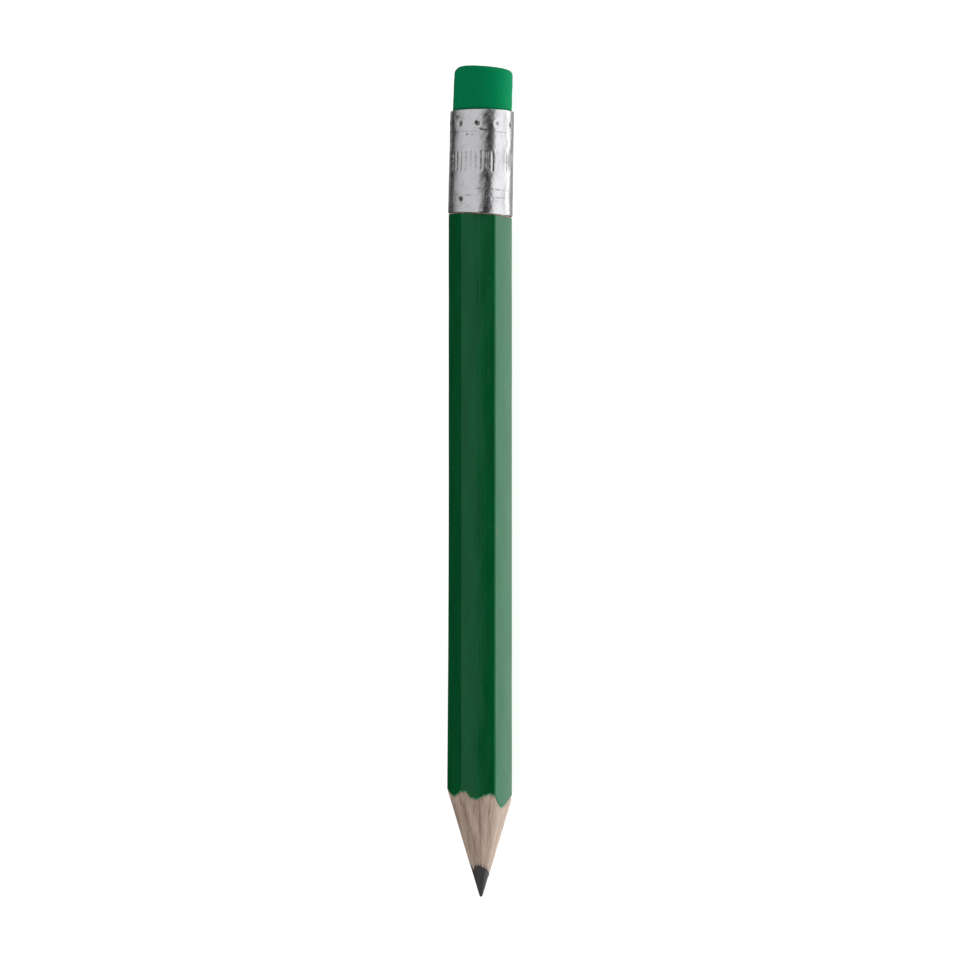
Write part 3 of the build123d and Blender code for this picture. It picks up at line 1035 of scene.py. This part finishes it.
def makeFerrule(metal):
    angle = fullTurn(480)
    low = ferrule["start"]
    high = ferruleEnd - pencil["shoulder"] - ferrule["short"]
    rim = ferrule["rim"]
    inner = ferruleRadius - ferrule["wall"]
    bend = np.radians(np.linspace(0, 90, 5))

    def corner(radius, along, outwards, upwards):
        inset, drop = rim * (1 - np.sin(bend)), rim * (1 - np.cos(bend))
        return list(zip(radius - outwards * inset, along - upwards * drop))

    outerWall = [(ferruleRadius, along) for along in np.linspace(low + rim, high - rim, 124)[1:-1]]
    innerWall = [(inner, along) for along in np.linspace(high - rim, low + rim, 34)[1:-1]]
    profile = corner(ferruleRadius, low, 1, -1) + outerWall + corner(ferruleRadius, high, 1, 1)[::-1]
    profile += corner(inner, high, -1, 1) + innerWall + corner(inner, low, -1, -1)[::-1]
    radius, along = (np.array(values)[:, None] + 0 * angle for values in zip(*profile))
    share = (along - low) / (high - low)
    hexTrace = ferrule["hexagon"] * (1 - np.cos(6 * np.radians(angle))) / 2
    hexTrace = hexTrace * np.clip(1 - share * 1.3, 0.25, 1)
    dents = 0.008 * ripples(angle, along, 71, 10, 2.0) + 0.0022 * ripples(angle, along, 72, 40, 0.7)
    fading = np.clip((ferrule["creaseEnd"] - share) / ferrule["creaseFade"], 0, 1)
    crease = ferrule["crease"] * around(creaseShape, angle, 5) * fading
    shaped = radius + ferrule["wider"] + ferrule["flare"] * (1 - share) ** 1.5 - hexTrace + dents + crease
    # where the painted dark reflection runs up the right side
    border = angle - ferrule["reflectionBandAngle"] - 4 * ripples(angle, along, 73, 3, 4.0)
    outer = radius > inner + ferrule["wall"] * 0.4
    masks = {
        "outer": outer,
        "firm": around(pressedHarder, angle),
        "paintedReflection": np.clip(1.15 - np.abs(border) / ferrule["reflectionBandWidth"], 0, 1),
        "smearsAndShade": spread(ferruleSmearsAndShade, angle, along) * outer,
    }
    uv = (angle / 360 * 2 * math.pi * ferruleRadius, along)
    piece = shell("ferruleTube", place(along, angle, shaped), uv, masks, ringsMeet=True)
    bake(piece, pressingTree(metal))
    for vertex in piece.data.vertices:
        upwards = (vertex.co.z - low) / (high - low)
        skew = ferrule["skewLow"] * (1 - upwards) + ferrule["skewHigh"] * upwards
        vertex.co.z += skew * vertex.co.x / ferruleRadius
    layDown(piece, leaned=True)
    return piece


def ferruleMetal():
    made, tree, shader = material("crimpedAluminium")
    surface = onSurface(tree)
    blotches = remap(tree, cloud(tree, surface, 2.4, 4.0, 0.65), 0.38, 0.6)
    # painted shade in the hollows, with some dirt: the flutes, punch marks and bead lines are darkened
    inFlutes = sums(tree, "MULTIPLY", mask(tree, "flute"), remap(tree, blotches, 0.0, 1.0, 0.2, 1.1))
    marks = sums(tree, "MAXIMUM", mask(tree, "punch"), sums(tree, "MULTIPLY", mask(tree, "bead"), 1.2))
    marks = sums(tree, "MAXIMUM", marks, inFlutes)
    # smears, with painted shade along the beads and painted dark reflections near the left edge
    smearsAndShade = sums(tree, "MULTIPLY", sums(tree, "MULTIPLY", mask(tree, "smearsAndShade"), blotches), 0.9)
    dirtAndShade = useGroup(tree, grime, {"Surface": surface, "Grain": 2.0, "Cover": 0.52})["Mask"]
    wires = {"Surface": stretch(tree, surface, 0.6, 0.6), "Grain": 0.8, "Cover": 0.7}
    films = useGroup(tree, grime, wires)["Mask"]
    lines = useGroup(tree, scratches, {"Surface": surface, "Fineness": 1.6, "Amount": 1.0})["Mask"]
    dark = sums(tree, "ADD", sums(tree, "MULTIPLY", marks, 0.4), sums(tree, "MULTIPLY", dirtAndShade, 0.3))
    # more painted shade inside the punch marks
    dark = sums(tree, "ADD", dark, remap(tree, mask(tree, "punch"), 0.1, 0.6, 0.0, 0.4))
    dark = sums(tree, "ADD", sums(tree, "ADD", dark, smearsAndShade), sums(tree, "MULTIPLY", lines, 0.35))
    dark = sums(tree, "MINIMUM", dark, 0.85)
    colour = blend(tree, sums(tree, "MULTIPLY", films, 0.06), ferrule["colour"], ferrule["film"])
    # painted dark reflection: a darker band up the right side
    colour = blend(tree, sums(tree, "MULTIPLY", mask(tree, "paintedReflection"), 0.8), colour, ferrule["paintedReflection"])
    colour = blend(tree, dark, colour, ferrule["dirtAndShade"])
    tree.links.new(colour, shader["Base Color"])
    rough = sums(tree, "ADD", ferrule["roughness"], sums(tree, "MULTIPLY", films, 0.1))
    rough = sums(tree, "ADD", rough, sums(tree, "MULTIPLY", dark, 0.25))
    tree.links.new(rough, shader["Roughness"])
    drawn = cloud(tree, stretch(tree, surface, 3.0, 0.5), 1.0, 4.0, 0.6)
    normal = bump(tree, drawn, 0.012)
    normal = bump(tree, sums(tree, "MULTIPLY", lines, -1.0), 0.006, normal)
    tree.links.new(normal, shader["Normal"])
    shader["Metallic"].default_value = 1.0
    return made


settle(makeFerrule(ferruleMetal()), "ferrule_metal", "ferrule")


studio = {
    "floorSize": 3.0,
    "floor": 0.66,
    "floorGlow": 0.79,
    "softboxEnds": (0.78, 0.94),  # the slope along the pencil where the softboxes start and finish fading
    "endLight": 0.3,  # brightness beyond the ends of the softboxes
    "flagsEnd": 0.084,  # the slope towards the eraser that the flags reach
    "flagSoftness": 0.004,
    "flagDark": 0.975,  # how much of the light the flags keep off
    "sideLight": 0.85,
    "sideDistance": 0.4,
    "sideAlong": 0.02,
    "sideUp": 0.03,
    "sideSize": (0.35, 0.12),
    "cameraTurn": 3.2,  # the camera stands this far round to the right
    "cameraAside": 0.09,  # millimetres
    "cameraDistance": 414.0,
    "lens": 128.9,
}

# Brightness of the room at each angle round the pencil, as softboxes and dark gaps between them.
roomLight = {
    -180: 0.3, -150: 0.3, -138: 0.26, -131: 0.02, -117: 0.02, -104: 0.32, -80: 0.54, -60: 0.66, -20: 0.68,
    16: 0.64, 24: 0.05, 28: 0.04, 46: 0.05, 54: 1.0, 62: 1.12, 104: 1.12, 109: 2.42, 126: 2.42, 134: 0.75,
    160: 0.7, 170: 0.3, 180: 0.3,
}
roomStrength = 2.0  # what the colours of the softboxes are multiplied by

# Two black flags keep light off the body, but not off the ferrule: the angles where each starts, is fully
# dark and ends.
flags = [(-0.5, 4.5, 30.0), (-165.0, -158.0, -131.0)]


def makeFloor():
    mesh = bpy.data.meshes.new("tableTop")
    half = studio["floorSize"] / 2
    corners = [(-half, -half, 0), (half, -half, 0), (half, half, 0), (-half, half, 0)]
    mesh.from_pydata(corners, [], [(0, 1, 2, 3)])
    floor = bpy.data.objects.new("tableTop", mesh)
    bpy.context.scene.collection.objects.link(floor)
    made, _, shader = material("paleTable")
    shader["Base Color"].default_value = (studio["floor"],) * 3 + (1,)
    shader["Roughness"].default_value = 0.9
    shader["Specular IOR Level"].default_value = 0.0
    shader["Emission Color"].default_value = (1, 1, 1, 1)
    shader["Emission Strength"].default_value = studio["floorGlow"]
    mesh.materials.append(made)
    floor.visible_glossy = False  # in reflections the room goes on below the table
    floor.visible_diffuse = False
    floor.visible_shadow = False


def makeRoom():
    world = bpy.data.worlds.new("studio")
    bpy.context.scene.world = world
    world.use_nodes = True
    tree = world.node_tree
    tree.nodes.clear()
    direction = node(tree, "ShaderNodeTexCoord").outputs["Generated"]
    way = node(tree, "ShaderNodeSeparateXYZ", {0: direction}).outputs
    turn = sums(tree, "ARCTAN2", way["X"], way["Z"])
    share = sums(tree, "ADD", sums(tree, "DIVIDE", turn, 2 * math.pi), 0.5)
    ramp = node(tree, "ShaderNodeValToRGB", {0: share})
    stops = ramp.color_ramp.elements
    while len(stops) > 1:
        stops.remove(stops[-1])
    for i, (angle, light) in enumerate(sorted(roomLight.items())):
        stop = stops[0] if i == 0 else stops.new((angle + 180) / 360)
        stop.position = (angle + 180) / 360
        stop.color = (light / roomStrength,) * 3 + (1,)
    degrees = sums(tree, "DEGREES", turn)
    covered = 0.0
    for start, dark, end in flags:
        before = sums(tree, "LESS_THAN", degrees, end)
        behind = sums(tree, "MULTIPLY", remap(tree, degrees, start, dark), before)
        covered = sums(tree, "MAXIMUM", covered, behind)
    edge, soft = studio["flagsEnd"], studio["flagSoftness"]
    covered = sums(tree, "MULTIPLY", covered, remap(tree, way["Y"], edge - soft, edge + soft, 1.0, 0.0))
    lost = sums(tree, "MULTIPLY", covered, roomStrength * studio["flagDark"])
    strength = sums(tree, "SUBTRACT", roomStrength, lost)
    beyond = remap(tree, sums(tree, "ABSOLUTE", way["Y"]), *studio["softboxEnds"])
    endColour = (studio["endLight"] / roomStrength,) * 3 + (1,)
    colour = blend(tree, beyond, ramp.outputs[0], endColour)
    room = node(tree, "ShaderNodeBackground", {"Color": colour, "Strength": strength}).outputs[0]
    plain = node(tree, "ShaderNodeBackground", {"Color": (1, 1, 1, 1), "Strength": 1.0}).outputs[0]
    seen = node(tree, "ShaderNodeLightPath").outputs["Is Camera Ray"]
    mixed = node(tree, "ShaderNodeMixShader", {0: seen, 1: room, 2: plain}).outputs[0]
    node(tree, "ShaderNodeOutputWorld", {0: mixed})


def makeSideLight():
    lamp = bpy.data.lights.new("sideSoftbox", "AREA")
    lamp.shape = "RECTANGLE"
    lamp.size, lamp.size_y = studio["sideSize"]
    distance = studio["sideDistance"]
    lamp.energy = studio["sideLight"] * math.pi * distance**2
    light = bpy.data.objects.new("sideSoftbox", lamp)
    bpy.context.scene.collection.objects.link(light)
    light.location = (distance, studio["sideAlong"], axisZ + studio["sideUp"])
    light.rotation_euler = (Vector((0, 0, axisZ)) - light.location).to_track_quat("-Z", "Y").to_euler()
    light.visible_glossy = False


def makeCamera():
    turn = math.radians(studio["cameraTurn"])
    back = Vector((math.sin(turn), 0, math.cos(turn)))
    right = Vector((math.cos(turn), 0, -math.sin(turn)))
    camera = bpy.data.objects.new("camera", bpy.data.cameras.new("camera"))
    bpy.context.scene.collection.objects.link(camera)
    camera.data.lens = studio["lens"]
    camera.data.sensor_width = 36
    aside, away = studio["cameraAside"] * mm, studio["cameraDistance"] * mm
    stand = Matrix.Translation(Vector((0, 0, axisZ)) + right * aside + back * away)
    camera.matrix_world = stand @ Matrix((right, Vector((0, 1, 0)), back)).transposed().to_4x4()
    bpy.context.scene.camera = camera


makeFloor()
makeRoom()
makeSideLight()
makeCamera()
bpy.context.scene.view_settings.view_transform = "Standard"
print("lit the table and set the camera")
